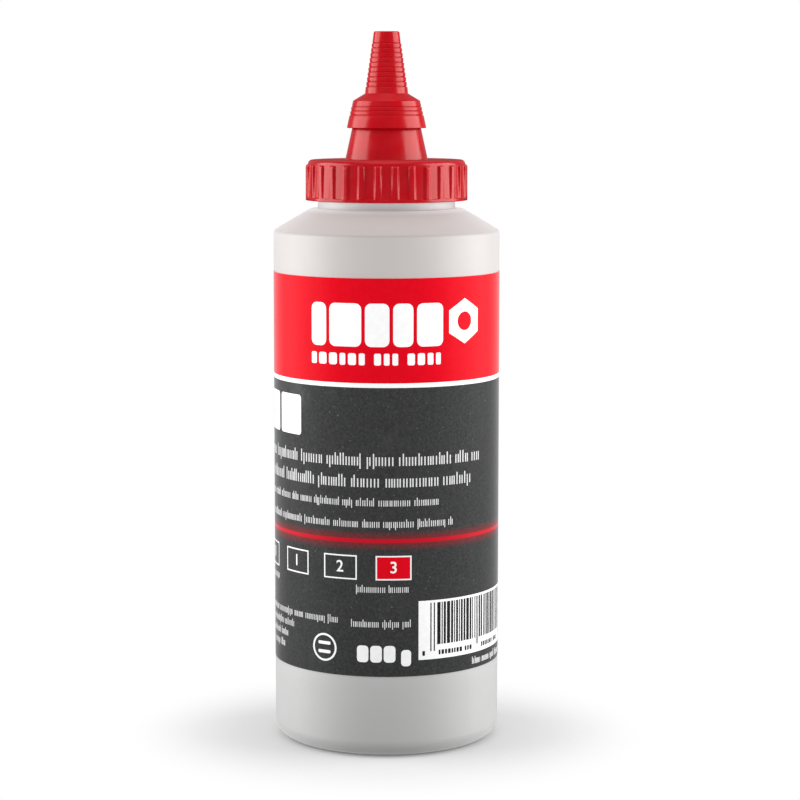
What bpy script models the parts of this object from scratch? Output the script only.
"""Chalk powder refill bottle: squeeze bottle, wrap label, powder fill and a push-pull spout closure.

Metres, +Z up. The origin is the centre of the foot, and every round piece turns about the Z axis.
The closure's helix is right-handed, so turning it anticlockwise from above lifts it.
"""

import math

import bmesh
import bpy
from mathutils import Matrix, Vector

MM = 0.001
GAP = 0.3 * MM

# Bottle
BODY_RADIUS = 28.5 * MM
BODY_WALL = 1.15 * MM
FOOT_CORNER = 4.2 * MM
FOOT_RING_INNER = 20.5 * MM
PUSH_UP_RADIUS = 15.5 * MM
PUSH_UP_HEIGHT = 2.0 * MM
BASE_WALL = 1.2 * MM
SHOULDER_ANGLE = math.radians(30.5)
SHOULDER_ROUND = 1.2 * MM
LEDGE_RADIUS = 19.1 * MM
LEDGE_Z = 134.8 * MM
NECK_RADIUS = 17.3 * MM
NECK_BORE = 15.5 * MM
LAND_Z = 144.2 * MM
BOTTLE_SIDES = 48

# Label, in a shallow panel of the bottle's wall
LABEL_BOTTOM = 20.6 * MM
LABEL_TOP = 119.1 * MM
LABEL_THICK = 0.35 * MM
LABEL_PROUD = 0.1 * MM
LABEL_GAP_WIDTH = 3.0 * MM
LABEL_INNER = BODY_RADIUS + LABEL_PROUD - LABEL_THICK
PANEL_RADIUS = LABEL_INNER - GAP

# Powder
POWDER_EDGE_Z = 121.0 * MM
POWDER_TOP_Z = 125.2 * MM

# Thread, a standard 38 mm one-turn finish with six turns to the inch
PITCH = 25.4 * MM / 6
NECK_THREAD_TOP = 142.5 * MM
NECK_THREAD_TURNS = 1.1
NECK_THREAD_HEIGHT = 1.35 * MM
CAP_THREAD_DROP = 1.55 * MM
CAP_THREAD_TURNS = 1.0
CAP_THREAD_HEIGHT = 1.3 * MM

# Closure base
SKIRT_BORE = 19.0 * MM
SKIRT_BOTTOM = 136.9 * MM
PANEL_TOP_RADIUS = 19.8 * MM
PANEL_FOOT_RADIUS = 20.1 * MM
RIB_RADIUS = 20.4 * MM
RIB_COUNT = 30
RIB_ROOT_WIDTH = 1.8 * MM
RIB_CREST_WIDTH = 1.1 * MM
RIB_TOP = 145.9 * MM
LIP_HEIGHT = 0.9 * MM
DECK_TOP = 147.0 * MM
DECK_THICK = 1.35 * MM
DECK_CORNER = 1.0 * MM
TOWER_FOOT = 10.3 * MM
TOWER_HEAD = 8.6 * MM
TOWER_TOP = DECK_TOP + 8.2 * MM
TOWER_WALL = 1.3 * MM
BARREL_RADIUS = 6.6 * MM
BARREL_BORE = 5.4 * MM
BARREL_TOP = 160.7 * MM
BARREL_BEAD = 0.5 * MM
BEAD_HEIGHT = 0.7 * MM
ARM_COUNT = 3
ARM_WIDTH = 1.4 * MM
ARM_BOTTOM = 156.8 * MM
ARM_HEIGHT = 1.6 * MM
STEM_RADIUS = 1.4 * MM
PLUG_RADIUS = 2.45 * MM
PLUG_FOOT = 162.7 * MM
PLUG_TOP = 165.4 * MM
CLOSURE_SIDES = 60

# Sealing liner
LINER_OUTER = 18.0 * MM
LINER_INNER = 14.6 * MM
LINER_THICK = 0.85 * MM

# Pull spout
SPOUT_BOTTOM = DECK_TOP + 7.95 * MM
SPOUT_TOP = 179.0 * MM
COLLAR_FOOT = 10.0 * MM
COLLAR_HEAD = 9.25 * MM
COLLAR_HEAD_Z = 158.1 * MM
SHOULDER_TIER_Z = (159.1 * MM, 160.2 * MM)
CORNER_RADIUS = 8.45 * MM
CORNER_Z = 161.75 * MM
NOZZLE_FOOT = 5.4 * MM
NOZZLE_FOOT_Z = 163.55 * MM
NOZZLE_LAST_TIER_Z = 165.2 * MM
NOZZLE_FIRST_TIER_Z = 177.2 * MM
NOZZLE_TIERS = 10
NOZZLE_TIP = 3.2 * MM
TIER_STEP = 0.16 * MM
SPOUT_BORE = 7.4 * MM
SPOUT_CATCH = 6.92 * MM
SOCKET_RADIUS = 8.95 * MM
SOCKET_TOP = TOWER_TOP + GAP
CATCH_HEIGHT = 0.65 * MM
ROOF_FOOT_Z = 160.6 * MM
OUTLET_ROOT = 2.8 * MM
OUTLET_ROOT_Z = 163.5 * MM
OUTLET_TIP = 1.8 * MM
SPOUT_SIDES = 40


def clear_scene():
    for obj in list(bpy.data.objects):
        bpy.data.objects.remove(obj, do_unlink=True)


def material(name, colour, roughness, metallic=0.0):
    """A Principled material of one colour."""
    made = bpy.data.materials.new(name)
    made.use_nodes = True
    shader = made.node_tree.nodes["Principled BSDF"]
    shader.inputs["Base Color"].default_value = (*colour, 1.0)
    shader.inputs["Roughness"].default_value = roughness
    shader.inputs["Metallic"].default_value = metallic
    made.diffuse_color = (*colour, 1.0)
    return made


def add_object(name, mesh_builder, finish):
    """Turns a bmesh into a linked, smooth-shaded object with one material."""
    bmesh.ops.recalc_face_normals(mesh_builder, faces=mesh_builder.faces)
    mesh = bpy.data.meshes.new(name)
    mesh_builder.to_mesh(mesh)
    mesh_builder.free()
    mesh.shade_smooth()
    mesh.set_sharp_from_angle(angle=math.radians(35))
    if finish:
        mesh.materials.append(finish)
    obj = bpy.data.objects.new(name, mesh)
    bpy.context.scene.collection.objects.link(obj)
    return obj


def arc(centre_r, centre_z, radius, start_deg, end_deg, steps):
    """Points (r, z) along an arc, both ends included."""
    angles = [
        math.radians(start_deg + (end_deg - start_deg) * i / steps) for i in range(steps + 1)
    ]
    return [(centre_r + radius * math.cos(a), centre_z + radius * math.sin(a)) for a in angles]


def revolve(profile, sides):
    """A closed bmesh from a closed outline of (r, z) points turned about Z. Points with r of 0 are poles."""
    built = bmesh.new()
    rings = []
    for r, z in profile:
        if r < 1e-7:
            rings.append([built.verts.new((0.0, 0.0, z))])
            continue
        turn = [2 * math.pi * i / sides for i in range(sides)]
        rings.append([built.verts.new((r * math.cos(a), r * math.sin(a), z)) for a in turn])
    for here, there in zip(rings, rings[1:] + rings[:1]):
        if len(here) == 1 and len(there) == 1:
            continue
        for i in range(sides):
            j = (i + 1) % sides
            corners = [here[i % len(here)], here[j % len(here)], there[j % len(there)], there[i % len(there)]]
            built.faces.new(list(dict.fromkeys(corners)))
    return built


def sweep(sections):
    """A closed bmesh through a list of sections, each a list of the same number of points."""
    built = bmesh.new()
    rings = [[built.verts.new(point) for point in section] for section in sections]
    count = len(rings[0])
    for here, there in zip(rings, rings[1:]):
        for i in range(count):
            j = (i + 1) % count
            built.faces.new((here[i], here[j], there[j], there[i]))
    built.faces.new(rings[0])
    built.faces.new(rings[-1][::-1])
    return built


def helical_ridge(name, root_radius, height, root_width, crest_width, top_z, turns, start_deg):
    """A thread ridge that climbs right-handed, with both ends run out into the wall.

    A positive height stands out from the wall and a negative one stands in. start_deg is the
    heading at which the helix of both threads passes NECK_THREAD_TOP.
    """
    buried = -math.copysign(0.45 * MM, height)
    steps = round(turns * CLOSURE_SIDES)
    run_out = 5
    sections = []
    for i in range(steps + 1):
        below = turns * i / steps
        angle = math.radians(start_deg) - 2 * math.pi * below
        z = top_z - PITCH * below
        share = min(1.0, i / run_out, (steps - i) / run_out)
        crest = root_radius + buried * 0.4 + (height - buried * 0.4) * share
        root = root_radius + buried
        heading = Vector((math.cos(angle), math.sin(angle), 0.0))
        outline = (
            (root, -root_width / 2),
            (crest, -crest_width / 2),
            (crest, crest_width / 2),
            (root, root_width / 2),
        )
        sections.append([heading * r + Vector((0.0, 0.0, z + dz)) for r, dz in outline])
    return add_object(name, sweep(sections), None)


def box_along(name, near, far, width, bottom, top, heading_deg):
    """A radial bar from near to far along a heading."""
    built = bmesh.new()
    bmesh.ops.create_cube(built, size=1.0)
    scale = Matrix.Diagonal((far - near, width, top - bottom, 1.0))
    place = Matrix.Translation(((near + far) / 2, 0.0, (bottom + top) / 2))
    turn = Matrix.Rotation(math.radians(heading_deg), 4, "Z")
    bmesh.ops.transform(built, matrix=turn @ place @ scale, verts=built.verts)
    return add_object(name, built, None)


def boolean(target, helpers, operation):
    """Joins helpers to the target or cuts them from it, and bakes the result."""
    for helper in helpers:
        helper.hide_render = True
        helper.display_type = "WIRE"
        modifier = target.modifiers.new(helper.name, "BOOLEAN")
        modifier.operation = operation
        modifier.solver = "EXACT"
        modifier.object = helper
        bpy.context.view_layer.update()
        evaluated = target.evaluated_get(bpy.context.evaluated_depsgraph_get())
        baked = bpy.data.meshes.new_from_object(evaluated)
        target.modifiers.remove(modifier)
        target.data = baked
        bpy.data.objects.remove(helper, do_unlink=True)
    target.data.shade_smooth()
    target.data.set_sharp_from_angle(angle=math.radians(35))


def shoulder_height(radius):
    """Height of the bottle's outer shoulder cone at a radius."""
    return LEDGE_Z - (radius - LEDGE_RADIUS) * math.tan(SHOULDER_ANGLE)


def bottle_outside():
    """Outer outline, from the middle of the push-up base to the land at the top of the neck."""
    cone_meets_wall = shoulder_height(BODY_RADIUS)
    tangent = SHOULDER_ROUND * math.tan((math.pi / 2 - SHOULDER_ANGLE) / 2)
    round_z = cone_meets_wall - tangent
    corner_r = BODY_RADIUS - FOOT_CORNER
    lead = 0.4 * MM
    outline = [(0.0, PUSH_UP_HEIGHT + 0.4 * MM), (PUSH_UP_RADIUS, PUSH_UP_HEIGHT)]
    outline += [(FOOT_RING_INNER - 0.8 * MM, 0.35 * MM), (FOOT_RING_INNER, 0.0)]
    outline += arc(corner_r, FOOT_CORNER, FOOT_CORNER, -90, 0, 5)
    outline += [(BODY_RADIUS, LABEL_BOTTOM - GAP - lead), (PANEL_RADIUS, LABEL_BOTTOM - GAP)]
    outline += [(PANEL_RADIUS, LABEL_TOP + GAP), (BODY_RADIUS, LABEL_TOP + GAP + lead)]
    outline += arc(
        BODY_RADIUS - SHOULDER_ROUND, round_z, SHOULDER_ROUND, 0, 90 - math.degrees(SHOULDER_ANGLE), 4
    )
    outline += [(LEDGE_RADIUS + 0.7 * MM, shoulder_height(LEDGE_RADIUS + 0.7 * MM))]
    outline += [(LEDGE_RADIUS - 0.1 * MM, LEDGE_Z), (NECK_RADIUS + lead, LEDGE_Z)]
    outline += [(NECK_RADIUS, LEDGE_Z + lead), (NECK_RADIUS, LAND_Z - lead), (NECK_RADIUS - lead, LAND_Z)]
    return outline


def bottle_inside():
    """Inner outline, from the land down to the middle of the base."""
    inner = BODY_RADIUS - BODY_WALL - (BODY_RADIUS - PANEL_RADIUS)
    corner = FOOT_CORNER - 0.5 * MM
    outline = [(NECK_BORE + 0.4 * MM, LAND_Z), (NECK_BORE, LAND_Z - 0.4 * MM)]
    outline += [(NECK_BORE, LEDGE_Z - 0.2 * MM), (NECK_BORE + 1.2 * MM, LEDGE_Z - 1.5 * MM)]
    outline += [(inner - 1.6 * MM, shoulder_height(inner - 1.6 * MM) - 1.6 * MM)]
    outline += [(inner, shoulder_height(inner) - 2.6 * MM)]
    outline += arc(inner - corner, BASE_WALL + corner, corner, 0, -90, 4)
    outline += [(FOOT_RING_INNER, BASE_WALL), (PUSH_UP_RADIUS + 0.6 * MM, PUSH_UP_HEIGHT + BASE_WALL)]
    outline += [(0.0, PUSH_UP_HEIGHT + BASE_WALL + 0.4 * MM)]
    return outline


def make_bottle():
    finish = material("white_hdpe", (0.86, 0.86, 0.85), 0.38)
    bottle = add_object("bottle", revolve(bottle_outside() + bottle_inside(), BOTTLE_SIDES), finish)
    ridge = helical_ridge(
        "neck_ridge",
        NECK_RADIUS,
        NECK_THREAD_HEIGHT,
        2.3 * MM,
        0.9 * MM,
        NECK_THREAD_TOP,
        NECK_THREAD_TURNS,
        200,
    )
    boolean(bottle, [ridge], "UNION")
    return bottle


def make_label():
    """A wrapped film with a narrow gap at the back where its ends almost meet."""
    finish = material("label_film", (0.09, 0.09, 0.10), 0.32)
    outer = LABEL_INNER + LABEL_THICK
    outline = [(LABEL_INNER, LABEL_BOTTOM), (outer, LABEL_BOTTOM), (outer, LABEL_TOP), (LABEL_INNER, LABEL_TOP)]
    label = add_object("label", revolve(outline, BOTTLE_SIDES), finish)
    slot = box_along(
        "label_slot",
        BODY_RADIUS - 4 * MM,
        BODY_RADIUS + 4 * MM,
        LABEL_GAP_WIDTH,
        LABEL_BOTTOM - 5 * MM,
        LABEL_TOP + 5 * MM,
        90,
    )
    boolean(label, [slot], "DIFFERENCE")
    return label


def make_chalk_powder():
    """The fill, settled against the walls and crowned in the middle."""
    finish = material("red_chalk", (0.45, 0.02, 0.015), 0.95)
    radius = PANEL_RADIUS - BODY_WALL - GAP
    corner = FOOT_CORNER - 0.8 * MM
    floor = BASE_WALL + GAP
    outline = [(0.0, PUSH_UP_HEIGHT + floor + 0.4 * MM)]
    outline += [(PUSH_UP_RADIUS + 0.8 * MM, PUSH_UP_HEIGHT + floor + 0.1 * MM)]
    outline += [(FOOT_RING_INNER + 0.3 * MM, floor)]
    outline += arc(radius - corner, floor + corner, corner, -90, 0, 3)
    outline += [(radius, POWDER_EDGE_Z), (radius * 0.9, POWDER_EDGE_Z + 0.5 * MM)]
    outline += [(radius * 0.45, POWDER_TOP_Z - 1.1 * MM), (radius * 0.18, POWDER_TOP_Z - 0.2 * MM)]
    outline += [(0.0, POWDER_TOP_Z)]
    return add_object("chalk_powder", revolve(outline, BOTTLE_SIDES), finish)


def make_sealing_liner():
    """A flat foam ring held under the deck, pressed on the land of the neck."""
    finish = material("liner_foam", (0.88, 0.88, 0.86), 0.8)
    top = DECK_TOP - DECK_THICK - GAP
    bottom = top - LINER_THICK
    outline = [(LINER_INNER, bottom), (LINER_OUTER, bottom), (LINER_OUTER, top), (LINER_INNER, top)]
    return add_object("sealing_liner", revolve(outline, CLOSURE_SIDES), finish)


def closure_outside():
    """Skirt, deck, tower and barrel, from the skirt's lower edge to the top of the barrel."""
    edge = 0.25 * MM
    lip_top = SKIRT_BOTTOM + LIP_HEIGHT
    bead_z = BARREL_TOP - BEAD_HEIGHT
    outline = [(SKIRT_BORE + 0.3 * MM, SKIRT_BOTTOM), (RIB_RADIUS - edge, SKIRT_BOTTOM)]
    outline += [(RIB_RADIUS, SKIRT_BOTTOM + edge), (RIB_RADIUS, lip_top - edge)]
    outline += [(PANEL_FOOT_RADIUS, lip_top), (PANEL_TOP_RADIUS, DECK_TOP - DECK_CORNER)]
    outline += arc(PANEL_TOP_RADIUS - DECK_CORNER, DECK_TOP - DECK_CORNER, DECK_CORNER, 30, 90, 2)
    outline += [(TOWER_FOOT + 0.3 * MM, DECK_TOP), (TOWER_FOOT, DECK_TOP + 0.3 * MM)]
    outline += [(TOWER_HEAD, TOWER_TOP), (BARREL_RADIUS, TOWER_TOP), (BARREL_RADIUS, bead_z)]
    outline += [(BARREL_RADIUS + BARREL_BEAD, bead_z + 0.15 * MM)]
    outline += [(BARREL_RADIUS + BARREL_BEAD - 0.1 * MM, bead_z + 0.4 * MM), (BARREL_RADIUS - 0.2 * MM, BARREL_TOP)]
    return outline


def closure_inside():
    """Barrel bore, tower hollow, underside of the deck and the threaded bore of the skirt."""
    under = DECK_TOP - DECK_THICK
    outline = [(BARREL_BORE, BARREL_TOP), (BARREL_BORE, TOWER_TOP)]
    outline += [(TOWER_HEAD - TOWER_WALL, TOWER_TOP - TOWER_WALL), (TOWER_FOOT - TOWER_WALL, under)]
    outline += [(SKIRT_BORE, under), (SKIRT_BORE, SKIRT_BOTTOM + 0.4 * MM)]
    return outline


def grip_rib(built, heading_deg):
    """Adds one grip rib: a bar with a narrower crest and a sloping top, its root buried in the skirt."""
    root = PANEL_TOP_RADIUS - 0.35 * MM
    bottom = SKIRT_BOTTOM + LIP_HEIGHT / 2
    bury = 0.12 * MM
    turn = Matrix.Rotation(math.radians(heading_deg), 3, "Z")
    levels = (
        (bottom, RIB_RADIUS - bury, 1.0),
        (RIB_TOP - 1.1 * MM, RIB_RADIUS, 1.0),
        (RIB_TOP - 0.45 * MM, RIB_RADIUS - 0.2 * MM, 0.9),
        (RIB_TOP, PANEL_TOP_RADIUS - 0.25 * MM, 0.7),
    )
    rings = []
    for z, crest, share in levels:
        half_root, half_crest = RIB_ROOT_WIDTH / 2 * share, RIB_CREST_WIDTH / 2 * share
        corners = ((root, -half_root), (crest, -half_crest), (crest, half_crest), (root, half_root))
        rings.append([built.verts.new(turn @ Vector((r, t, z))) for r, t in corners])
    for here, there in zip(rings, rings[1:]):
        for i in range(4):
            j = (i + 1) % 4
            built.faces.new((here[i], here[j], there[j], there[i]))
    built.faces.new(rings[0][::-1])
    built.faces.new(rings[-1])


def grip_ribs():
    built = bmesh.new()
    for i in range(RIB_COUNT):
        grip_rib(built, 360 / RIB_COUNT * (i + 0.5) - 90)
    return add_object("grip_ribs", built, None)


def plug():
    """The fixed plug on its stem, which closes the outlet's root."""
    chamfer = 0.8 * MM
    outline = [(0.0, ARM_BOTTOM), (STEM_RADIUS, ARM_BOTTOM), (STEM_RADIUS, PLUG_FOOT - chamfer)]
    outline += [(PLUG_RADIUS, PLUG_FOOT), (PLUG_RADIUS, PLUG_TOP - chamfer)]
    outline += [(PLUG_RADIUS - chamfer, PLUG_TOP), (0.0, PLUG_TOP)]
    return add_object("plug", revolve(outline, 20), None)


def make_closure_base():
    finish = material("red_closure", (0.62, 0.004, 0.012), 0.28)
    closure = add_object("closure_base", revolve(closure_outside() + closure_inside(), CLOSURE_SIDES), finish)
    ridge = helical_ridge(
        "cap_ridge",
        SKIRT_BORE,
        -CAP_THREAD_HEIGHT,
        1.6 * MM,
        0.7 * MM,
        NECK_THREAD_TOP - CAP_THREAD_DROP + PITCH / 4,
        CAP_THREAD_TURNS,
        200 + 90,
    )
    arms = [
        box_along(
            "arm",
            STEM_RADIUS * 0.4,
            BARREL_BORE + 0.5 * MM,
            ARM_WIDTH,
            ARM_BOTTOM + 0.15 * MM,
            ARM_BOTTOM + ARM_HEIGHT,
            90 + 360 / ARM_COUNT * i,
        )
        for i in range(ARM_COUNT)
    ]
    boolean(closure, [ridge, grip_ribs(), *arms, plug()], "UNION")
    return closure


def tiered(foot, head, heights):
    """Outline up a tapered wall that steps in at each height, so that every tier has a narrow ledge on top."""
    (foot_r, foot_z), (head_r, head_z) = foot, head
    outline = []
    for z in heights:
        share = (z - foot_z) / (head_z - foot_z)
        mean = foot_r + (head_r - foot_r) * share
        outline += [(mean + TIER_STEP / 2, z), (mean - TIER_STEP / 2, z + 0.06 * MM)]
    return outline


def spout_outside():
    """Collar, shoulder and stepped nozzle, bottom to top."""
    tip_round = 0.4 * MM
    span = NOZZLE_FIRST_TIER_Z - NOZZLE_LAST_TIER_Z
    tier_heights = [NOZZLE_LAST_TIER_Z + span * i / NOZZLE_TIERS for i in range(NOZZLE_TIERS)]
    outline = [(SPOUT_CATCH + 0.25 * MM, SOCKET_TOP), (SOCKET_RADIUS, SOCKET_TOP)]
    outline += [(SOCKET_RADIUS, SPOUT_BOTTOM), (COLLAR_FOOT, SPOUT_BOTTOM)]
    outline += tiered(
        (COLLAR_HEAD, COLLAR_HEAD_Z), (CORNER_RADIUS, CORNER_Z), (COLLAR_HEAD_Z, *SHOULDER_TIER_Z)
    )
    outline += [(CORNER_RADIUS, CORNER_Z - 0.3 * MM), (CORNER_RADIUS - 0.35 * MM, CORNER_Z + 0.1 * MM)]
    outline += [(NOZZLE_FOOT, NOZZLE_FOOT_Z)]
    outline += tiered((NOZZLE_FOOT, NOZZLE_FOOT_Z), (NOZZLE_TIP, SPOUT_TOP), tier_heights)
    outline += arc(NOZZLE_TIP - tip_round, SPOUT_TOP - tip_round, tip_round, 10, 90, 2)
    return outline


def spout_inside():
    """Outlet, roof of the chamber, bore and the catch bead above the socket for the tower, top to bottom."""
    outline = [(OUTLET_TIP, SPOUT_TOP), (OUTLET_ROOT, OUTLET_ROOT_Z), (SPOUT_BORE, ROOF_FOOT_Z)]
    outline += [(SPOUT_BORE, SOCKET_TOP + CATCH_HEIGHT + 0.3 * MM)]
    outline += [(SPOUT_CATCH, SOCKET_TOP + CATCH_HEIGHT), (SPOUT_CATCH, SOCKET_TOP + 0.25 * MM)]
    return outline


def make_pull_spout():
    finish = material("red_spout", (0.62, 0.004, 0.012), 0.28)
    return add_object("pull_spout", revolve(spout_outside() + spout_inside(), SPOUT_SIDES), finish)


def main():
    clear_scene()
    make_bottle()
    make_label()
    make_chalk_powder()
    make_sealing_liner()
    make_closure_base()
    make_pull_spout()


main()
